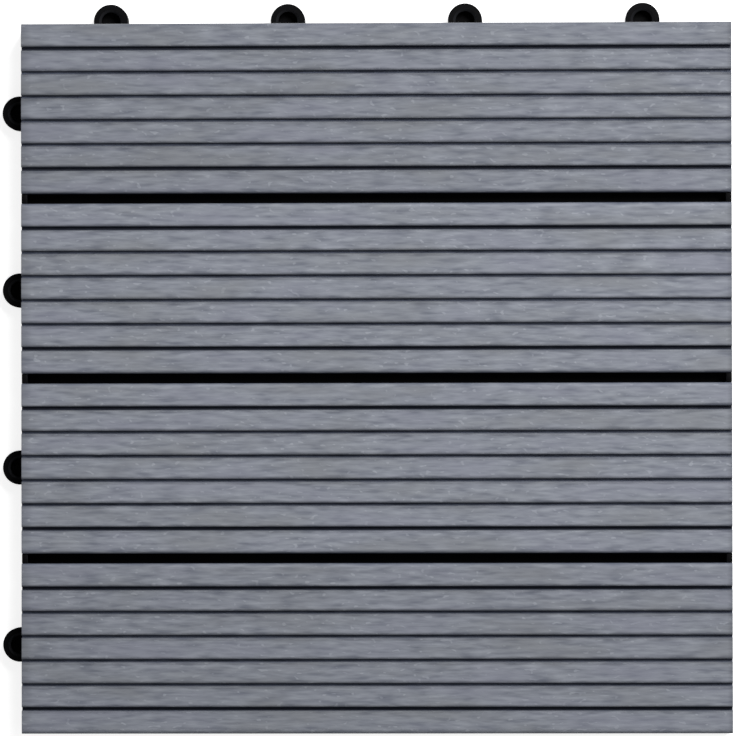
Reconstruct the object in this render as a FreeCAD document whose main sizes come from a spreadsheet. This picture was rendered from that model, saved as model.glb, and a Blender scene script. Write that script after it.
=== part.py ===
import FreeCAD, Part
import math
import os

import Sketcher

# Interlocking deck tile: grooved composite slats screwed from below to one moulded plastic base.
# Millimetres. The origin is the centre of the square deck, on the ground. X runs along the slats.
# Round sockets stand out past the deck on the -X and +Y sides. Half-round pegs hang inside the
# deck's outline on the +X and -Y sides, where they drop into the sockets of the next tiles.

SLATS = 4
INNER_GROOVES = 4
SHOULDER_FACETS = 2
CONNECTORS_PER_SIDE = 4
RIB_ROWS_PER_SLAT = 2
CROSS_BAYS = 7
FOOT_STEP = 3

SIZES = {
    # composite slats
    "slat_length": 299.2,
    "slat_width": 71.65,
    "slat_thickness": 11,
    "slat_gap": 4.2,
    "slat_top_round": 1.8,
    "slat_under_chamfer": 0.8,
    # the long grooves in each slat; the two beside the edges are wider and deeper
    "groove_pitch": 10.15,
    "inner_groove_width": 1.1,
    "inner_groove_depth": 2.2,
    "outer_groove_width": 1.5,
    "outer_groove_depth": 3,
    "groove_flank": 0.15,
    "groove_shoulder": 0.75,
    # moulded base
    "base_inset": 0.2,
    "wall_thickness": 2,
    "rib_thickness": 2,
    "rib_height": 8,
    "foot_height": 3,
    "foot_span": 12,
    "rail_width": 8,
    "rail_thickness": 2,
    # round sockets that stand out past the deck
    "tile_gap": 0.8,
    "connector_pitch": 75,
    "socket_offset": 1.7,
    "socket_diameter": 14.5,
    "socket_bore": 8,
    "socket_mouth_chamfer": 1,
    "socket_floor": 1.5,
    # half-round pegs under the deck's edge, each in an alcove that clears a socket
    "roof_thickness": 2,
    "drop_clearance": 0.5,
    "peg_clearance": 0.3,
    "alcove_clearance": 0.5,
    # hexagon-head screws, each up through a plate that closes one cell of the base
    "plate_thickness": 2.5,
    "screw_shank": 4,
    "screw_head_across_flats": 7,
    "screw_head_height": 2.5,
    "screw_bite": 7.5,
    "plate_hole_clearance": 0.2,
    "pilot_clearance": 0.1,
    "pilot_end_clearance": 0.5,
}

# Lengths worked out from the driving sizes, as expressions for the sketches and features.
SLAT_PITCH = "(sizes.slat_width + sizes.slat_gap)"
DECK_HALF_X = "(sizes.slat_length / 2)"
DECK_HALF_Y = f"(({SLATS} * {SLAT_PITCH} - sizes.slat_gap) / 2)"
BASE_HALF_X = f"({DECK_HALF_X} - sizes.base_inset)"
BASE_HALF_Y = f"({DECK_HALF_Y} - sizes.base_inset)"
BASE_TOP = "(sizes.foot_height + sizes.rib_height)"

# Ribs along X lie in even rows, two to a slat. Ribs along Y part the length into equal cells.
RIB_ROWS = SLATS * RIB_ROWS_PER_SLAT - 1
ROW_PITCH = f"({SLAT_PITCH} / {RIB_ROWS_PER_SLAT})"
ALL_CELLS_X = f"(2 * {BASE_HALF_X} - 2 * sizes.wall_thickness - {CROSS_BAYS - 1} * sizes.rib_thickness)"
CELL_X = f"({ALL_CELLS_X} / {CROSS_BAYS})"
BAY_PITCH = f"({CELL_X} + sizes.rib_thickness)"

# The roof that a peg hangs from clears the socket below it, and the alcove clears it all round.
ROOF_UNDERSIDE = f"({BASE_TOP} - sizes.roof_thickness)"
SOCKET_TOP = f"({ROOF_UNDERSIDE} - sizes.drop_clearance)"
PEG_RADIUS = "(sizes.socket_bore / 2 - sizes.peg_clearance)"
CUP_REACH = "(sizes.socket_diameter / 2)"
ALCOVE_REACH = f"({CUP_REACH} + sizes.alcove_clearance)"
FIRST_CONNECTOR = f"-({(CONNECTORS_PER_SIDE - 1) / 2} * sizes.connector_pitch)"
PEG_INSET = "(sizes.socket_offset - sizes.tile_gap)"

# Each row of connectors, as the place of its first one and the axis that the row runs along.
LEFT_SOCKETS = (f"-({DECK_HALF_X} + sizes.socket_offset)", FIRST_CONNECTOR, "Y")
BACK_SOCKETS = (FIRST_CONNECTOR, f"({DECK_HALF_Y} + sizes.socket_offset)", "X")
RIGHT_PEGS = (f"({DECK_HALF_X} - {PEG_INSET})", FIRST_CONNECTOR, "Y")
FRONT_PEGS = (FIRST_CONNECTOR, f"-({DECK_HALF_Y} - {PEG_INSET})", "X")

# Two screws hold each slat, at opposite ends and on opposite sides of its centre line. Their
# places are measured from the slat's centre.
SCREW_REACH_X = f"({(CROSS_BAYS - 1) / 2} * {BAY_PITCH})"
SCREW_REACH_Y = f"({ROW_PITCH} / 2)"
SCREW_PLACES = (
    ("left", f"-{SCREW_REACH_X}", SCREW_REACH_Y),
    ("right", SCREW_REACH_X, f"-{SCREW_REACH_Y}"),
)
LOWEST_SLAT_Y = f"(-{(SLATS - 1) / 2} * {SLAT_PITCH})"
PLATE_UNDERSIDE = f"({BASE_TOP} - sizes.plate_thickness)"

doc = FreeCAD.newDocument("deck_tile")


def make_sheet():
    """The spreadsheet of driving sizes, one row each, with the size's name as its alias."""
    sheet = doc.addObject("Spreadsheet::Sheet", "sizes")
    for row, (name, value) in enumerate(SIZES.items(), start=1):
        sheet.set(f"A{row}", name)
        sheet.set(f"B{row}", str(value))
        sheet.setAlias(f"B{row}", name)
    doc.recompute()


def make_body(name):
    body = doc.addObject("PartDesign::Body", name)
    body.Label = name
    body.AllowCompound = True
    return body


def origin_part(body, role):
    return [part for part in body.Origin.OriginFeatures if part.Role == role][0]


def place_sketch(body, name, plane, x="0", y="0", z="0"):
    """An empty sketch on an origin plane, moved by three expressions along the plane's own axes."""
    sketch = body.newObject("Sketcher::SketchObject", name)
    sketch.AttachmentSupport = (origin_part(body, plane), [""])
    sketch.MapMode = "FlatFace"
    sketch.setExpression("AttachmentOffset.Base.x", x)
    sketch.setExpression("AttachmentOffset.Base.y", y)
    sketch.setExpression("AttachmentOffset.Base.z", z)
    return sketch


def fix_size(sketch, name, constraint, expression):
    index = sketch.addConstraint(constraint)
    sketch.renameConstraint(index, name)
    sketch.setExpression(f"Constraints.{name}", expression)


def draw_outline(sketch, name, corners):
    """A closed outline of straight lines. Each corner is an (x, y) pair of expressions."""
    count = len(corners)
    first = sketch.GeometryCount
    turns = [i * math.tau / count for i in range(count)]
    ring = [FreeCAD.Vector(math.cos(turn), math.sin(turn), 0) for turn in turns]
    for i in range(count):
        sketch.addGeometry(Part.LineSegment(ring[i], ring[(i + 1) % count]))
    for i in range(count):
        end = first + (i + 1) % count
        sketch.addConstraint(Sketcher.Constraint("Coincident", first + i, 2, end, 1))
    for i, (x, y) in enumerate(corners):
        fix_size(sketch, f"{name}_x{i}", Sketcher.Constraint("DistanceX", -1, 1, first + i, 1, 1.0), x)
        fix_size(sketch, f"{name}_y{i}", Sketcher.Constraint("DistanceY", -1, 1, first + i, 1, 1.0), y)


def draw_rectangle(sketch, name, left, bottom, right, top):
    draw_outline(sketch, name, [(left, bottom), (right, bottom), (right, top), (left, top)])


def hexagon_corners(x, y, across_flats):
    corners = []
    for number in range(6):
        turned = math.radians(60 * number)
        along = f"{math.cos(turned) / math.sqrt(3):.5f} * {across_flats}"
        up = f"{math.sin(turned) / math.sqrt(3):.5f} * {across_flats}"
        corners.append((f"{x} + {along}", f"{y} + {up}"))
    return corners


def draw_square(sketch, name, reach):
    draw_rectangle(sketch, name, f"-{reach}", f"-{reach}", reach, reach)


def draw_circle(sketch, name, x, y, radius):
    circle = sketch.addGeometry(Part.Circle(FreeCAD.Vector(1, 1, 0), FreeCAD.Vector(0, 0, 1), 1))
    fix_size(sketch, f"{name}_x", Sketcher.Constraint("DistanceX", -1, 1, circle, 3, 1.0), x)
    fix_size(sketch, f"{name}_y", Sketcher.Constraint("DistanceY", -1, 1, circle, 3, 1.0), y)
    fix_size(sketch, f"{name}_radius", Sketcher.Constraint("Radius", circle, 1.0), radius)


def pad(body, sketch, length):
    feature = body.newObject("PartDesign::Pad", sketch.Name + "_pad")
    feature.Profile = sketch
    feature.setExpression("Length", length)
    return feature


def turn(body, name, x, y, profile):
    """A solid turned about an upright axis at (x, y), from (radius, height) pairs."""
    sketch = place_sketch(body, name, "XZ_Plane", x=x, z=f"-({y})")
    draw_outline(sketch, name, profile)
    feature = body.newObject("PartDesign::Revolution", name + "_turned")
    feature.Profile = sketch
    feature.ReferenceAxis = (sketch, ["V_Axis"])
    return feature


def repeat(body, name, features, *runs):
    """Repeats features along the body's axes. Each run is (axis, step, count)."""
    pattern = body.newObject("PartDesign::MultiTransform", name)
    pattern.Originals = features
    steps = []
    for number, (axis, step, count) in enumerate(runs, start=1):
        run = body.newObject("PartDesign::LinearPattern", f"{name}_{number}")
        run.Direction = (origin_part(body, axis + "_Axis"), [""])
        run.Mode = "Spacing"
        run.setExpression("Offset", step)
        run.Occurrences = count
        steps.append(run)
    pattern.Transformations = steps
    body.Tip = pattern
    return pattern


def mirror_to_four_corners(body, name, feature):
    pattern = body.newObject("PartDesign::MultiTransform", name)
    pattern.Originals = [feature]
    mirrors = []
    for plane in ("YZ_Plane", "XZ_Plane"):
        mirror = body.newObject("PartDesign::Mirrored", f"{name}_{plane}")
        mirror.MirrorPlane = (origin_part(body, plane), [""])
        mirrors.append(mirror)
    pattern.Transformations = mirrors
    body.Tip = pattern


# The base before it is hollowed: a block on feet, with the cups that will be sockets

def add_block(body):
    """The square block, on four L-shaped corner feet."""
    sketch = place_sketch(body, "block", "XY_Plane", z="sizes.foot_height")
    draw_rectangle(sketch, "block", f"-{BASE_HALF_X}", f"-{BASE_HALF_Y}", BASE_HALF_X, BASE_HALF_Y)
    pad(body, sketch, "sizes.rib_height")

    sketch = place_sketch(body, "corner_foot", "XY_Plane", x=f"-{BASE_HALF_X}", y=f"-{BASE_HALF_Y}")
    span = "sizes.foot_span"
    wall = "sizes.wall_thickness"
    ell = [("0", "0"), (span, "0"), (span, wall), (wall, wall), (wall, span), ("0", span)]
    draw_outline(sketch, "foot", ell)
    foot = pad(body, sketch, "sizes.foot_height")
    mirror_to_four_corners(body, "corner_feet", foot)


def add_rib_feet(body):
    """Nine short lengths of rib that reach the ground, the middle one at the centre of the tile."""
    bay_step = f"{FOOT_STEP} * {BAY_PITCH}"
    row_step = f"{FOOT_STEP} * {ROW_PITCH}"
    sketch = place_sketch(body, "foot", "XY_Plane", x=f"-{bay_step}", y=f"-{row_step}")
    end = "(sizes.foot_span / 2)"
    side = "(sizes.rib_thickness / 2)"
    draw_rectangle(sketch, "foot", f"-{end}", f"-{side}", end, side)
    foot = pad(body, sketch, "sizes.foot_height")
    repeat(body, "feet", [foot], ("X", bay_step, 3), ("Y", row_step, 3))


def connector_run(axis):
    return (axis, "sizes.connector_pitch", CONNECTORS_PER_SIDE)


def add_socket_cups(body, side, x, y, axis):
    """A row of round cups from (x, y) along an axis, standing on the ground."""
    sketch = place_sketch(body, f"{side}_cup", "XY_Plane", x=x, y=y)
    draw_circle(sketch, "cup", "0", "0", CUP_REACH)
    cup = pad(body, sketch, SOCKET_TOP)
    repeat(body, f"{side}_cup_row", [cup], connector_run(axis))


def make_block_on_feet():
    body = make_body("block_on_feet")
    add_block(body)
    add_socket_cups(body, "left", *LEFT_SOCKETS)
    add_socket_cups(body, "back", *BACK_SOCKETS)
    add_rib_feet(body)
    return body


# What the mould's cores leave out of the block: one core for each cell between ribs

def make_cell_cores():
    """Rows of cores, two rows to a slat, with a narrower row along each of the two long sides."""
    body = make_body("cell_cores")
    first_x = f"-({(CROSS_BAYS - 1) / 2} * {BAY_PITCH})"
    half_x = f"({CELL_X} / 2)"
    bays = ("X", BAY_PITCH, CROSS_BAYS)

    first_y = f"-({(RIB_ROWS - 2) / 2} * {ROW_PITCH})"
    half_y = f"(({ROW_PITCH} - sizes.rib_thickness) / 2)"
    sketch = place_sketch(body, "cell", "XY_Plane", x=first_x, y=first_y, z="sizes.foot_height")
    draw_rectangle(sketch, "cell", f"-{half_x}", f"-{half_y}", half_x, half_y)
    core = pad(body, sketch, "sizes.rib_height")
    repeat(body, "cells", [core], bays, ("Y", ROW_PITCH, RIB_ROWS - 1))

    last_rib = f"({(RIB_ROWS - 1) / 2} * {ROW_PITCH} + sizes.rib_thickness / 2)"
    wall_face = f"({BASE_HALF_Y} - sizes.wall_thickness)"
    sketch = place_sketch(body, "side_cell", "XY_Plane", x=first_x, z="sizes.foot_height")
    draw_rectangle(sketch, "cell", f"-{half_x}", f"-{wall_face}", half_x, f"-{last_rib}")
    core = pad(body, sketch, "sizes.rib_height")
    repeat(body, "side_cells", [core], bays, ("Y", f"{wall_face} + {last_rib}", 2))
    return body


def make_rails():
    """The flat rail left along the top of the rib under each gap between slats."""
    body = make_body("rails")
    first = f"-({(SLATS - 2) / 2} * {SLAT_PITCH})"
    sketch = place_sketch(body, "rail", "XY_Plane", y=first, z=f"{BASE_TOP} - sizes.rail_thickness")
    half = "sizes.rail_width / 2"
    draw_rectangle(sketch, "rail", f"-{BASE_HALF_X}", f"-{half}", BASE_HALF_X, half)
    rail = pad(body, sketch, "sizes.rail_thickness")
    repeat(body, "rail_rows", [rail], ("Y", SLAT_PITCH, SLATS - 1))
    return body


def make_screw_plates():
    """A plate across the top of each cell that a screw goes up through."""
    body = make_body("screw_plates")
    sketch = place_sketch(body, "plates", "XY_Plane", y=LOWEST_SLAT_Y, z=PLATE_UNDERSIDE)
    half_x = f"{BAY_PITCH} / 2"
    half_y = f"{ROW_PITCH} / 2"
    for side, x, y in SCREW_PLACES:
        low_corner = (f"{x} - {half_x}", f"{y} - {half_y}")
        high_corner = (f"{x} + {half_x}", f"{y} + {half_y}")
        draw_rectangle(sketch, side, *low_corner, *high_corner)
    plates = pad(body, sketch, "sizes.plate_thickness")
    repeat(body, "plate_rows", [plates], ("Y", SLAT_PITCH, SLATS))
    return body


def make_cup_backs(side, x, y, axis):
    """A square-cornered back to each socket cup, in the cell behind its wall, up to the rim."""
    body = make_body(f"{side}_cup_backs")
    sketch = place_sketch(body, f"{side}_cup_back", "XY_Plane", x=x, y=y, z="sizes.foot_height")
    draw_square(sketch, "back", CUP_REACH)
    back = pad(body, sketch, f"{SOCKET_TOP} - sizes.foot_height")
    repeat(body, f"{side}_cup_back_row", [back], connector_run(axis))
    return body


def make_alcove_blocks(side, x, y, axis):
    """The places where walls and a roof stand round the pegs."""
    body = make_body(f"{side}_alcove_blocks")
    sketch = place_sketch(body, f"{side}_alcove_block", "XY_Plane", x=x, y=y, z="sizes.foot_height")
    draw_square(sketch, "block", f"({ALCOVE_REACH} + sizes.wall_thickness)")
    block = pad(body, sketch, "sizes.rib_height")
    repeat(body, f"{side}_alcove_block_row", [block], connector_run(axis))
    return body


# Holes in what stays solid

def make_screw_holes():
    """A clear hole through each screw plate."""
    body = make_body("screw_holes")
    sketch = place_sketch(body, "screw_hole", "XY_Plane", y=LOWEST_SLAT_Y, z=PLATE_UNDERSIDE)
    for side, x, y in SCREW_PLACES:
        draw_circle(sketch, side, x, y, "sizes.screw_shank / 2 + sizes.plate_hole_clearance")
    holes = pad(body, sketch, "sizes.plate_thickness")
    repeat(body, "screw_hole_rows", [holes], ("Y", SLAT_PITCH, SLATS))
    return body


def make_socket_bores(side, x, y, axis):
    """A closed well down each cup, with a chamfered mouth."""
    body = make_body(f"{side}_socket_bores")
    bore = "(sizes.socket_bore / 2)"
    mouth = f"{bore} + sizes.socket_mouth_chamfer"
    profile = [
        ("0", "sizes.socket_floor"),
        (bore, "sizes.socket_floor"),
        (bore, f"{SOCKET_TOP} - sizes.socket_mouth_chamfer"),
        (mouth, SOCKET_TOP),
        ("0", SOCKET_TOP),
    ]
    well = turn(body, f"{side}_bore", x, y, profile)
    repeat(body, f"{side}_bore_row", [well], connector_run(axis))
    return body


def make_wall_notches(side, x, y, axis):
    """A notch down to each socket's rim, through what stands over the cup, with room all round."""
    body = make_body(f"{side}_wall_notches")
    sketch = place_sketch(body, f"{side}_notch", "XY_Plane", x=x, y=y, z=SOCKET_TOP)
    draw_square(sketch, "notch", ALCOVE_REACH)
    notch = pad(body, sketch, f"{BASE_TOP} - {SOCKET_TOP}")
    repeat(body, f"{side}_notch_row", [notch], connector_run(axis))
    return body


def make_alcoves(side, x, y, axis):
    """The space round each half-round peg, up to the roof that the peg hangs from."""
    body = make_body(f"{side}_alcoves")
    sketch = place_sketch(body, f"{side}_alcove", "XY_Plane", x=x, y=y, z="sizes.foot_height")
    draw_square(sketch, "alcove", ALCOVE_REACH)
    draw_circle(sketch, "peg", "0", "0", PEG_RADIUS)
    alcove = pad(body, sketch, f"{ROOF_UNDERSIDE} - sizes.foot_height")
    repeat(body, f"{side}_alcove_row", [alcove], connector_run(axis))
    return body


def compound(name, members):
    group = doc.addObject("Part::Compound", name)
    group.Links = members
    return group


def cut(name, base, tool):
    result = doc.addObject("Part::Cut", name)
    result.Label = name
    result.Base = base
    result.Tool = tool
    result.Refine = False
    return result


def make_base():
    """The block on its feet, less the cells between its ribs, the holes and the alcoves."""
    solid_places = compound("solid_places", [
        make_rails(),
        make_screw_plates(),
        make_cup_backs("left", *LEFT_SOCKETS),
        make_cup_backs("back", *BACK_SOCKETS),
        make_alcove_blocks("right", *RIGHT_PEGS),
        make_alcove_blocks("front", *FRONT_PEGS),
    ])
    hollows = compound("hollows", [
        cut("cells_between_ribs", make_cell_cores(), solid_places),
        make_screw_holes(),
        make_socket_bores("left", *LEFT_SOCKETS),
        make_socket_bores("back", *BACK_SOCKETS),
        make_wall_notches("left", *LEFT_SOCKETS),
        make_wall_notches("back", *BACK_SOCKETS),
        make_alcoves("right", *RIGHT_PEGS),
        make_alcoves("front", *FRONT_PEGS),
    ])
    return cut("base_grid", make_block_on_feet(), hollows)


# Slats

def round_top_edges(body, name, board):
    """Rounds the two long edges along the top of a plain slat."""
    doc.recompute([board])
    middle = board.Shape.BoundBox.Center.z
    upper = []
    for number, edge in enumerate(board.Shape.Edges, start=1):
        box = edge.BoundBox
        if box.ZMin > middle and box.XLength > box.YLength and box.YLength < 1e-6:
            upper.append(f"Edge{number}")
    feature = body.newObject("PartDesign::Fillet", name)
    feature.Base = (board, upper)
    feature.setExpression("Radius", "sizes.slat_top_round")


def add_grooves(body, name, first, width, depth, step, count):
    """Long grooves in the slat's top, from first across the width, with shoulders eased in facets."""
    half = f"{width} / 2"
    right = []
    for facet in range(SHOULDER_FACETS + 1):
        turned = math.radians(90 * facet / SHOULDER_FACETS)
        out = f"{1 - math.sin(turned):.4f} * sizes.groove_shoulder"
        down = f"{1 - math.cos(turned):.4f} * sizes.groove_shoulder"
        right.append((f"({half} + {out})", f"-({down})"))
    right.append((f"({half} - sizes.groove_flank)", f"-{depth}"))
    left = [(f"-{x}", z) for x, z in reversed(right)]

    sketch = place_sketch(body, name, "YZ_Plane", x=first, y="sizes.slat_thickness")
    draw_outline(sketch, name, right + left)
    groove = body.newObject("PartDesign::Pocket", name + "_pocket")
    groove.Profile = sketch
    groove.SideType = "Symmetric"
    groove.setExpression("Length", "sizes.slat_length")
    repeat(body, name + "_set", [groove], ("Y", step, count))


def add_pilot_holes(body, number):
    """A blind hole for each of the slat's screws, up from its underside."""
    sketch = place_sketch(body, f"pilots_{number}", "XY_Plane")
    for side, x, y in SCREW_PLACES:
        draw_circle(sketch, side, x, y, "sizes.screw_shank / 2 + sizes.pilot_clearance")
    holes = body.newObject("PartDesign::Pocket", f"pilot_holes_{number}")
    holes.Profile = sketch
    holes.Reversed = True
    holes.setExpression("Length", "sizes.screw_bite + sizes.pilot_end_clearance")


def put_in_row(body, number, height):
    """Moves what is drawn about a slat's own centre into its row. Slat 1 is on the +Y side."""
    body.setExpression("Placement.Base.y", f"{(SLATS + 1) / 2 - number} * {SLAT_PITCH}")
    body.setExpression("Placement.Base.z", height)


def make_slat(number):
    body = make_body(f"slat_{number}")
    sketch = place_sketch(body, f"section_{number}", "YZ_Plane")
    side = "(sizes.slat_width / 2)"
    under = "sizes.slat_under_chamfer"
    right = [(f"({side} - {under})", "0"), (side, under), (side, "sizes.slat_thickness")]
    left = [(f"-{y}", z) for y, z in reversed(right)]
    draw_outline(sketch, "section", right + left)
    board = pad(body, sketch, "sizes.slat_length")
    board.SideType = "Symmetric"
    round_top_edges(body, f"top_round_{number}", board)

    inner_reach = f"{(INNER_GROOVES - 1) / 2} * sizes.groove_pitch"
    inner = ("sizes.inner_groove_width", "sizes.inner_groove_depth", "sizes.groove_pitch")
    add_grooves(body, f"inner_groove_{number}", f"-({inner_reach})", *inner, INNER_GROOVES)
    outer_reach = f"{(INNER_GROOVES + 1) / 2} * sizes.groove_pitch"
    outer = ("sizes.outer_groove_width", "sizes.outer_groove_depth", f"2 * {outer_reach}")
    add_grooves(body, f"outer_groove_{number}", f"-({outer_reach})", *outer, 2)

    add_pilot_holes(body, number)
    put_in_row(body, number, BASE_TOP)
    return body


# Screws

def make_slat_screws(number):
    """The two hexagon-head screws of one slat, points up, with their heads against the plates."""
    body = make_body(f"screws_slat_{number}")
    heads = place_sketch(body, f"heads_{number}", "XY_Plane", z="-sizes.screw_head_height")
    shanks = place_sketch(body, f"shanks_{number}", "XY_Plane")
    for side, x, y in SCREW_PLACES:
        draw_outline(heads, side, hexagon_corners(x, y, "sizes.screw_head_across_flats"))
        draw_circle(shanks, side, x, y, "sizes.screw_shank / 2")
    pad(body, heads, "sizes.screw_head_height")
    pad(body, shanks, "sizes.plate_thickness + sizes.screw_bite")
    put_in_row(body, number, PLATE_UNDERSIDE)
    return body


def check_and_export(bodies):
    doc.recompute()
    for thing in doc.Objects:
        if "Invalid" in thing.State or "Error" in thing.State:
            raise RuntimeError(f"{thing.Label} failed: {thing.State}")
    os.makedirs("parts", exist_ok=True)
    for body in bodies:
        if body.Shape.isNull() or not body.Shape.isValid():
            raise RuntimeError(f"{body.Label} has no valid shape")
    for body in bodies:
        body.Shape.exportStep(f"parts/{body.Label}.step")
        solids = len(body.Shape.Solids)
        volume = body.Shape.Volume / 1000
        print(f"{body.Label}: {solids} solid(s), {volume:.1f} cm3, {len(body.Shape.Faces)} faces")


make_sheet()
bodies = [make_base()]
for number in range(1, SLATS + 1):
    bodies.append(make_slat(number))
    bodies.append(make_slat_screws(number))
check_and_export(bodies)
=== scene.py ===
# Interlocking deck tile: four grooved grey composite slats on a black moulded base, seen from above
# on a white floor. Metres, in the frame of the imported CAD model, with the ground at z = 0.
import math

import bpy
from mathutils import Matrix, Vector


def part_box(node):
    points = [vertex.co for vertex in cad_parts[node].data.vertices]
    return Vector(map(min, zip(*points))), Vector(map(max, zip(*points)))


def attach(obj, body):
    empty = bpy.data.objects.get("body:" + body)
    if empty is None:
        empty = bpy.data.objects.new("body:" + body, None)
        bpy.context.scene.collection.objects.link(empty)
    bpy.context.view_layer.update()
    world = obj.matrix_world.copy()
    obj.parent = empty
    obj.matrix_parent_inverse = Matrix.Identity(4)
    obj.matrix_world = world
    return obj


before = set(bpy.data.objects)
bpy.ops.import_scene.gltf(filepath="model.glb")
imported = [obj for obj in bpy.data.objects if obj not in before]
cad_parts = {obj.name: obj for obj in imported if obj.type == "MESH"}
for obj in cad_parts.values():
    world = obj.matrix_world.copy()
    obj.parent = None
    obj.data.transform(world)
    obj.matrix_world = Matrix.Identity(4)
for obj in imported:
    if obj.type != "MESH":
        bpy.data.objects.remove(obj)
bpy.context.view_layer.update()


# Slats
# Each slat is one board of wood-plastic composite, extruded with its grooves and cut to length.
# Its face is brushed along the length, which leaves fine matt streaks. The colour goes through the
# whole board. Deeper down, the grooves and the sides between the slats get painted shade, almost black.

SLATS = 4
back_slat_low, back_slat_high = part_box("slat_1")
next_slat_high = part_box("slat_2")[1]
SLAT_HALF_LENGTH, DECK_HALF_WIDTH, DECK_TOP = back_slat_high
SLAT_PITCH = back_slat_high.y - next_slat_high.y
GAP = back_slat_low.y - next_slat_high.y
GROOVE_PITCH = 0.01015
GROOVES_PER_SIDE = 3


class Graph:
    """The nodes of one material or group. Any input takes a plain value or a node's output."""

    def __init__(self, tree):
        self.nodes = tree.nodes
        self.links = tree.links

    def feed(self, socket, value):
        if isinstance(value, bpy.types.NodeSocket):
            self.links.new(value, socket)
        elif socket.type == "RGBA":
            socket.default_value = (*value, 1)
        else:
            socket.default_value = value

    def math(self, operation, *values):
        node = self.nodes.new("ShaderNodeMath")
        node.operation = operation
        for socket, value in zip(node.inputs, values):
            self.feed(socket, value)
        return node.outputs[0]

    def product(self, first, *others):
        for value in others:
            first = self.math("MULTIPLY", first, value)
        return first

    def weigh(self, *parts):
        """The sum of values, each times its weight."""
        total = 0.0
        for value, weight in parts:
            total = self.math("MULTIPLY_ADD", value, weight, total)
        return total

    def remap(self, value, low, high, to_low=0.0, to_high=1.0):
        """A value that goes from to_low to to_high while another goes from low to high."""
        node = self.nodes.new("ShaderNodeMapRange")
        for socket, number in zip(node.inputs, (value, low, high, to_low, to_high)):
            self.feed(socket, number)
        return node.outputs[0]

    def mix(self, factor, first, second):
        """A colour between two others."""
        node = self.nodes.new("ShaderNodeMix")
        node.data_type = "RGBA"
        for name, value in (("Factor", factor), ("A", first), ("B", second)):
            self.feed(node.inputs[name], value)
        return node.outputs["Result"]

    def noise(self, place, size, detail=2.0, shift=(0.0, 0.0, 0.0)):
        """Noise whose marks have their own length along each axis."""
        mapping = self.nodes.new("ShaderNodeMapping")
        self.feed(mapping.inputs["Vector"], place)
        self.feed(mapping.inputs["Location"], shift)
        self.feed(mapping.inputs["Scale"], [1 / length for length in size])
        noise = self.nodes.new("ShaderNodeTexNoise")
        self.feed(noise.inputs["Vector"], mapping.outputs["Vector"])
        self.feed(noise.inputs["Scale"], 1.0)
        self.feed(noise.inputs["Detail"], detail)
        return noise.outputs["Fac"]

    def place(self):
        return self.nodes.new("ShaderNodeTexCoord").outputs["Object"]

    def facing(self):
        return self.nodes.new("ShaderNodeNewGeometry").outputs["True Normal"]

    def split(self, vector):
        """X, Y and Z of a place, or of the way that a face looks."""
        node = self.nodes.new("ShaderNodeSeparateXYZ")
        self.feed(node.inputs[0], vector)
        return node.outputs[0], node.outputs[1], node.outputs[2]

    def relief(self, height, distance, strength, edge_radius):
        """A normal with bump from a height, and with edges that look eased by edge_radius."""
        edges = self.nodes.new("ShaderNodeBevel")
        self.feed(edges.inputs["Radius"], edge_radius)
        bump = self.nodes.new("ShaderNodeBump")
        self.feed(bump.inputs["Distance"], distance)
        self.feed(bump.inputs["Strength"], strength)
        self.feed(bump.inputs["Height"], height)
        self.feed(bump.inputs["Normal"], edges.outputs["Normal"])
        return bump.outputs["Normal"]


def new_material(name):
    material = bpy.data.materials.new(name)
    material.use_nodes = True
    return material, Graph(material.node_tree), material.node_tree.nodes["Principled BSDF"].inputs


def dress(node_name, material):
    """Puts a material in the slots of a CAD node."""
    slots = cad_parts[node_name].data.materials
    slots.clear()
    slots.append(material)


# lengths of the grain's marks along X, Y and Z
HAIR_SIZE = (0.0045, 0.0008, 0.0020)
STREAK_SIZE = (0.0105, 0.0019, 0.0040)
PATCH_SIZE = (0.0500, 0.0140, 0.0200)
SPECK_SIZE = (0.0024, 0.0014, 0.0015)
SPECK_THRESHOLD = (0.72, 0.80)


def make_brushed_grain():
    """A group for what brushing leaves along X: fine hairs, streaks, soft patches and pale specks."""
    group = bpy.data.node_groups.new("brushed_grain", "ShaderNodeTree")
    group.interface.new_socket("Place", in_out="INPUT", socket_type="NodeSocketVector")
    graph = Graph(group)
    place = group.nodes.new("NodeGroupInput").outputs["Place"]
    specks = graph.noise(place, SPECK_SIZE, detail=0, shift=(11.0, 5.0, 2.0))
    marks = {
        "Hairs": graph.noise(place, HAIR_SIZE),
        "Streaks": graph.noise(place, STREAK_SIZE, detail=1.5, shift=(3.1, 1.7, 0.4)),
        "Patches": graph.noise(place, PATCH_SIZE, shift=(7.7, 4.2, 1.9)),
        "Specks": graph.remap(specks, *SPECK_THRESHOLD),
    }
    out = group.nodes.new("NodeGroupOutput")
    for name, mark in marks.items():
        group.interface.new_socket(name, in_out="OUTPUT", socket_type="NodeSocketFloat")
        graph.feed(out.inputs[name], mark)
    return group


# each kind of mark's share in the tone, and the tints of the soft patches
HAIR_SHARE = 0.25
STREAK_SHARE = 0.60
PATCH_SHARE = 0.30
SPECK_SHARE = 0.50
TONE_SPAN = (0.385, 0.775)
COMPOSITE_DARK = (0.145, 0.157, 0.192)
COMPOSITE_PALE = (0.298, 0.317, 0.360)
COMPOSITE_BLUE = (0.204, 0.211, 0.266)
COMPOSITE_GREY = (0.224, 0.234, 0.250)
BLUE_PATCHES = (0.50, 0.70)
GREY_PATCHES = (0.50, 0.30)
PATCH_TINT = 0.55


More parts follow.
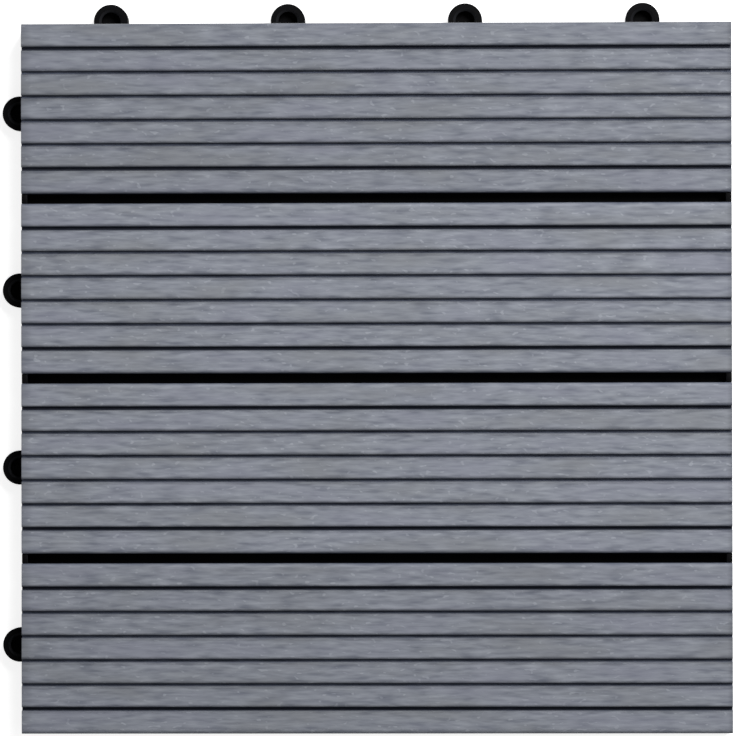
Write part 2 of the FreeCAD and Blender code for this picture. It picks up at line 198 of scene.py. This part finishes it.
def grain_colour(graph, grain):
    """The grain's tone, and its colour between two greys, with bluer and greyer patches."""
    streaks, hairs, patches = grain["Streaks"], grain["Hairs"], grain["Patches"]
    tone = graph.weigh((streaks, STREAK_SHARE), (hairs, HAIR_SHARE), (patches, PATCH_SHARE))
    tone = graph.math("MULTIPLY_ADD", grain["Specks"], SPECK_SHARE, graph.remap(tone, *TONE_SPAN))
    colour = graph.mix(tone, COMPOSITE_DARK, COMPOSITE_PALE)
    colour = graph.mix(graph.remap(patches, *BLUE_PATCHES, 0.0, PATCH_TINT), colour, COMPOSITE_BLUE)
    colour = graph.mix(graph.remap(patches, *GREY_PATCHES, 0.0, PATCH_TINT), colour, COMPOSITE_GREY)
    return tone, colour


# how far in from an edge the face is darkened with painted shade, and the tone left at the edge itself
LEFT_END_DIP = (0.0045, 0.74)
RIGHT_END_DIP = (0.0022, 0.72)
LONG_EDGE_DIP = (0.0030, 0.80)


def edge_shade_tone(graph, x, y):
    """What painted shade leaves of the tone at the two ends and at the deck's two long edges."""
    left_length, left_tone = LEFT_END_DIP
    right_length, right_tone = RIGHT_END_DIP
    edge_length, edge_tone = LONG_EDGE_DIP
    from_middle = graph.math("ABSOLUTE", y)
    left = graph.remap(x, -SLAT_HALF_LENGTH, left_length - SLAT_HALF_LENGTH, left_tone, 1.0)
    right = graph.remap(x, SLAT_HALF_LENGTH, SLAT_HALF_LENGTH - right_length, right_tone, 1.0)
    edge = graph.remap(from_middle, DECK_HALF_WIDTH, DECK_HALF_WIDTH - edge_length, edge_tone, 1.0)
    return graph.product(left, right, edge)


# the lip of a groove, darkened with painted shade, as distances from its centre line, and how much of the
# tone the shade takes
LIP_OUTER = 0.0021
LIP_INNER = 0.0010
LIP_SHADE = 0.34
LIP_WAVER = 0.0012


def groove_lip_shade(graph, number, y, waver):
    """How much of the tone painted shade takes from the lips of the grooves, with an edge that wavers with
    the grain.
    """
    across = graph.math("SUBTRACT", y, ((SLATS + 1) / 2 - number) * SLAT_PITCH)
    among_grooves = graph.math("LESS_THAN", graph.math("ABSOLUTE", across), GROOVES_PER_SIDE * GROOVE_PITCH)
    from_groove = graph.math("SUBTRACT", GROOVE_PITCH / 2, graph.math("PINGPONG", across, GROOVE_PITCH / 2))
    from_groove = graph.math("MULTIPLY_ADD", waver, LIP_WAVER, from_groove)
    return graph.product(graph.remap(from_groove, LIP_OUTER, LIP_INNER, 0.0, LIP_SHADE), among_grooves)


# depths below the face where the painted shade begins and is full, and where it turns from shallow to deep
SHADE_DEPTHS = (0.0001, 0.0017)
FLOOR_DEPTHS = (0.0020, 0.0028)
SHADE_WAVER = 0.0016
SHALLOW_SHADE = (0.095, 0.110, 0.155)
DEEP_SHADE = (0.024, 0.029, 0.047)
# the deck's two long outer faces have no shade, and this is how deep into them that holds
OUTER_FACE = 0.0005

# painted shade that makes the two outer slats darker than the middle two
SLAT_SHADE_LEVELS = {1: 0.90, 2: 1.0, 3: 1.0, 4: 0.92}
COMPOSITE_ROUGHNESS = (0.62, 0.78)
COMPOSITE_GLOSS = 0.3
BLACK = (0.0, 0.0, 0.0)
# how far apart in the grain two slats are cut
GRAIN_STEP = Vector((0.37, 0.11, 0.0))
# what noise mostly spans, where a roughness is spread over it
NOISE_SPAN = (0.3, 0.7)


def make_composite(number, grain_group):
    """The grey composite. Each slat has its own stretch of grain, and the two outer slats are darker with
    painted shade.
    """
    material, graph, skin = new_material(f"brushed_composite_{number}")
    place = graph.place()
    own_stretch = graph.nodes.new("ShaderNodeVectorMath")
    graph.feed(own_stretch.inputs[0], place)
    graph.feed(own_stretch.inputs[1], GRAIN_STEP * number)
    group_node = graph.nodes.new("ShaderNodeGroup")
    group_node.node_tree = grain_group
    graph.feed(group_node.inputs["Place"], own_stretch.outputs[0])
    grain = group_node.outputs
    tone, colour = grain_colour(graph, grain)
    waver = graph.math("SUBTRACT", grain["Streaks"], 0.5)

    # the sawn ends and the underside get neither the painted shade on the lips nor the painted shade with
    # depth
    x, y, z = graph.split(place)
    facing_x, _, facing_z = graph.split(graph.facing())
    off_ends = graph.math("LESS_THAN", graph.math("ABSOLUTE", facing_x), 0.5)
    off_underside = graph.math("GREATER_THAN", facing_z, -0.5)
    faces_with_painted_shade = graph.product(off_ends, off_underside)
    after_lip_shade = graph.math("SUBTRACT", 1.0, graph.product(groove_lip_shade(graph, number, y, waver), faces_with_painted_shade))
    # painted shade on the outer slats, at the ends, at the long edges and on the lips darkens the colour
    level = graph.product(SLAT_SHADE_LEVELS[number], edge_shade_tone(graph, x, y), after_lip_shade)
    colour = graph.mix(level, BLACK, colour)

    # painted shade grows with depth in the grooves and between the slats, and the grain makes it uneven
    inside = graph.math("LESS_THAN", graph.math("ABSOLUTE", y), DECK_HALF_WIDTH - OUTER_FACE)
    depth = graph.math("SUBTRACT", DECK_TOP, graph.math("MULTIPLY_ADD", waver, SHADE_WAVER, z))
    shade = graph.mix(graph.remap(depth, *FLOOR_DEPTHS), SHALLOW_SHADE, DEEP_SHADE)
    amount = graph.product(graph.remap(depth, *SHADE_DEPTHS), faces_with_painted_shade, inside)
    graph.feed(skin["Base Color"], graph.mix(amount, colour, shade))

    graph.feed(skin["Roughness"], graph.remap(grain["Hairs"], *NOISE_SPAN, *COMPOSITE_ROUGHNESS))
    graph.feed(skin["Specular IOR Level"], COMPOSITE_GLOSS)
    graph.feed(skin["Normal"], graph.relief(tone, distance=0.0002, strength=0.5, edge_radius=0.0004))
    return material


brushed_grain = make_brushed_grain()
for number in range(1, SLATS + 1):
    dress(f"slat_{number}", make_composite(number, brushed_grain))


# Base
# One black polypropylene moulding: a grid of ribs on short feet, with the sockets that stand out on
# two sides and the pegs under the other two. The faces have the faint sheen of a polished mould.

PLASTIC_DARK = (0.0024, 0.0024, 0.0028)
PLASTIC_PALE = (0.0048, 0.0048, 0.0055)
# a painted highlight on chamfered faces
PLASTIC_CHAMFER_HIGHLIGHT = (0.0150, 0.0155, 0.0175)
PLASTIC_CLOUD_SIZE = (0.011, 0.011, 0.011)
PLASTIC_GRAIN_SIZE = (0.0007, 0.0007, 0.0007)
PLASTIC_ROUGHNESS = (0.46, 0.60)
PLASTIC_GLOSS = 0.04
# how far up a face looks where it begins to be a chamfer, and where it begins to be level
CHAMFER_FROM = (0.60, 0.65)
LEVEL_FROM = (0.80, 0.85)


def make_base_plastic():
    material, graph, skin = new_material("black_moulded_plastic")
    place = graph.place()
    cloud = graph.noise(place, PLASTIC_CLOUD_SIZE, detail=3)
    fine = graph.noise(place, PLASTIC_GRAIN_SIZE)
    colour = graph.mix(cloud, PLASTIC_DARK, PLASTIC_PALE)

    # the chamfered faces, such as the mouths of the sockets, get a painted highlight, lighter than the
    # plastic
    *_, facing_z = graph.split(graph.facing())
    chamfer_or_level = graph.remap(facing_z, *CHAMFER_FROM)
    chamfer_highlight = graph.math("SUBTRACT", chamfer_or_level, graph.remap(facing_z, *LEVEL_FROM))
    graph.feed(skin["Base Color"], graph.mix(chamfer_highlight, colour, PLASTIC_CHAMFER_HIGHLIGHT))
    graph.feed(skin["Roughness"], graph.remap(cloud, *NOISE_SPAN, *PLASTIC_ROUGHNESS))
    graph.feed(skin["Specular IOR Level"], PLASTIC_GLOSS)
    graph.feed(skin["Normal"], graph.relief(fine, distance=0.00005, strength=0.35, edge_radius=0.0003))
    return material


base_plastic = make_base_plastic()
dress("base_grid", base_plastic)

# the moulding's end walls stand up between the slats' ends, and close the three gaps there
WEB_PLAY = 0.00005
WEB_THICKNESS = 0.0024
WEB_BOTTOM = 0.0105
WEB_TOP = 0.0200
WEB_EDGE = 0.0003
SMOOTH_UP_TO = math.radians(40)

bpy.ops.object.select_all(action="DESELECT")
bpy.ops.mesh.primitive_cube_add(size=1, scale=(WEB_THICKNESS, GAP - 2 * WEB_PLAY, WEB_TOP - WEB_BOTTOM))
bpy.ops.object.transform_apply(location=False, rotation=False, scale=True)
bpy.ops.object.mode_set(mode="EDIT")
bpy.ops.mesh.bevel(offset=WEB_EDGE, segments=3, affect="EDGES")
bpy.ops.object.mode_set(mode="OBJECT")
first_web = bpy.context.object
first_web.select_set(False)

for side in (-1, 1):
    for gap_number in range(1, SLATS):
        web = first_web.copy()
        web.data = first_web.data.copy()
        web.location.x = side * (SLAT_HALF_LENGTH - WEB_THICKNESS / 2)
        web.location.y = (SLATS / 2 - gap_number) * SLAT_PITCH
        web.location.z = (WEB_BOTTOM + WEB_TOP) / 2
        bpy.context.collection.objects.link(web)
        web.select_set(True)
bpy.data.objects.remove(first_web)
bpy.context.view_layer.objects.active = web
bpy.ops.object.join()
bpy.ops.object.transform_apply(location=True, rotation=False, scale=False)
bpy.ops.object.shade_smooth_by_angle(angle=SMOOTH_UP_TO)
end_webs = bpy.context.object
end_webs.name = "base_end_webs"
end_webs.data.materials.append(base_plastic)
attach(end_webs, "root")


# Screws
# Eight hexagon-head screws of zinc-plated steel, two to a slat at opposite corners, driven up
# through the base's closed cells. The plating has a faint cloud. The thread is relief on the shank.

SCREW_REACH_X = 0.1272
SCREW_REACH_Y = SLAT_PITCH / 4
SCREW_HEAD_TOP = 0.0085
THREAD_PITCH = 0.0016
THREAD_DEPTH = 0.0006
ZINC_DULL = (0.42, 0.44, 0.47)
ZINC_BRIGHT = (0.64, 0.65, 0.66)
ZINC_CLOUD_SIZE = (0.002, 0.002, 0.002)
ZINC_ROUGHNESS = (0.28, 0.50)


def thread_height(graph, x, y, z):
    """A right-hand thread round each screw's own axis, above its head, from 0 to 1."""
    side = graph.math("SIGN", x)
    from_axis_x = graph.product(graph.math("SUBTRACT", graph.math("ABSOLUTE", x), SCREW_REACH_X), side)
    from_axis_y = graph.math("SUBTRACT", y, graph.product(side, SCREW_REACH_Y))
    from_axis_y = graph.math("WRAP", from_axis_y, SLAT_PITCH / 2, -SLAT_PITCH / 2)
    turns = graph.math("DIVIDE", graph.math("ARCTAN2", from_axis_y, from_axis_x), math.tau)
    rise = graph.math("SUBTRACT", graph.math("DIVIDE", z, THREAD_PITCH), turns)
    flight = graph.product(graph.math("PINGPONG", rise, 0.5), 2.0)
    return graph.product(flight, graph.math("GREATER_THAN", z, SCREW_HEAD_TOP))


def make_zinc():
    material, graph, skin = new_material("zinc_plated_steel")
    place = graph.place()
    cloud = graph.noise(place, ZINC_CLOUD_SIZE, detail=4)
    thread = thread_height(graph, *graph.split(place))
    graph.feed(skin["Base Color"], graph.mix(cloud, ZINC_DULL, ZINC_BRIGHT))
    graph.feed(skin["Metallic"], 1.0)
    graph.feed(skin["Roughness"], graph.remap(cloud, *NOISE_SPAN, *ZINC_ROUGHNESS))
    graph.feed(skin["Normal"], graph.relief(thread, THREAD_DEPTH, strength=1.0, edge_radius=0.0002))
    return material


zinc = make_zinc()
for number in range(1, SLATS + 1):
    dress(f"screws_slat_{number}", zinc)


# Floor, light and camera
# The floor is a white sheet. It is brightened only where the camera or a shiny face sees it, so
# that it shows as white without more light on the tile, and it keeps the tile's shadow.

FLOOR_SIZE = 8
FLOOR_WHITE = (0.8, 0.8, 0.8)
FLOOR_ROUGHNESS = 0.9

bpy.ops.object.select_all(action="DESELECT")
bpy.ops.mesh.primitive_plane_add(size=FLOOR_SIZE, location=(0, 0, 0))
floor = bpy.context.object
floor.name = "floor"
floor_material, graph, skin = new_material("white_sheet")
ray = graph.nodes.new("ShaderNodeLightPath").outputs
seen = ray["Is Camera Ray"]
for kind in ("Is Glossy Ray", "Is Transmission Ray"):
    seen = graph.math("MAXIMUM", seen, ray[kind])
graph.feed(skin["Base Color"], FLOOR_WHITE)
graph.feed(skin["Emission Color"], FLOOR_WHITE)
graph.feed(skin["Emission Strength"], seen)
graph.feed(skin["Roughness"], FLOOR_ROUGHNESS)
graph.feed(skin["Specular IOR Level"], 0.0)
floor.data.materials.append(floor_material)

ROOM_LIGHT = 0.2
scene = bpy.context.scene
scene.view_settings.view_transform = "Standard"
scene.world = bpy.data.worlds.new("soft_room")
scene.world.use_nodes = True
background = scene.world.node_tree.nodes["Background"].inputs
background["Color"].default_value = (1, 1, 1, 1)
background["Strength"].default_value = ROOM_LIGHT

# one softbox, behind the tile and to its right
SOFTBOX_PLACE = Vector((0.60, 0.75, 1.35))
SOFTBOX_SIZE = 0.8
SOFTBOX_WATTS = 30.0
softbox = bpy.data.lights.new("softbox", "AREA")
softbox.size = SOFTBOX_SIZE
softbox.energy = SOFTBOX_WATTS
softbox_object = bpy.data.objects.new("softbox", softbox)
softbox_object.location = SOFTBOX_PLACE
softbox_object.rotation_euler = (-SOFTBOX_PLACE).to_track_quat("-Z", "Y").to_euler()
scene.collection.objects.link(softbox_object)

# a long lens from almost straight above, a little to the right of the tile's middle
CAMERA_DISTANCE = 2.572
CAMERA_AIM = Vector((-0.00345, 0.0042, DECK_TOP))
CAMERA_TILT_X = math.radians(0.595)
CAMERA_TILT_Y = math.radians(1.524)
CAMERA_ROLL = math.radians(-0.103)
FRAME_WIDTH = 0.30966

camera_data = bpy.data.cameras.new("camera")
camera_data.lens = camera_data.sensor_width * CAMERA_DISTANCE / FRAME_WIDTH
camera_data.clip_end = 20
camera = bpy.data.objects.new("camera", camera_data)
turned = Matrix.Rotation(CAMERA_TILT_Y, 3, "Y") @ Matrix.Rotation(CAMERA_TILT_X, 3, "X")
turned = turned @ Matrix.Rotation(CAMERA_ROLL, 3, "Z")
camera.location = CAMERA_AIM + turned @ Vector((0, 0, CAMERA_DISTANCE))
camera.rotation_euler = turned.to_euler()
scene.collection.objects.link(camera)
scene.camera = camera
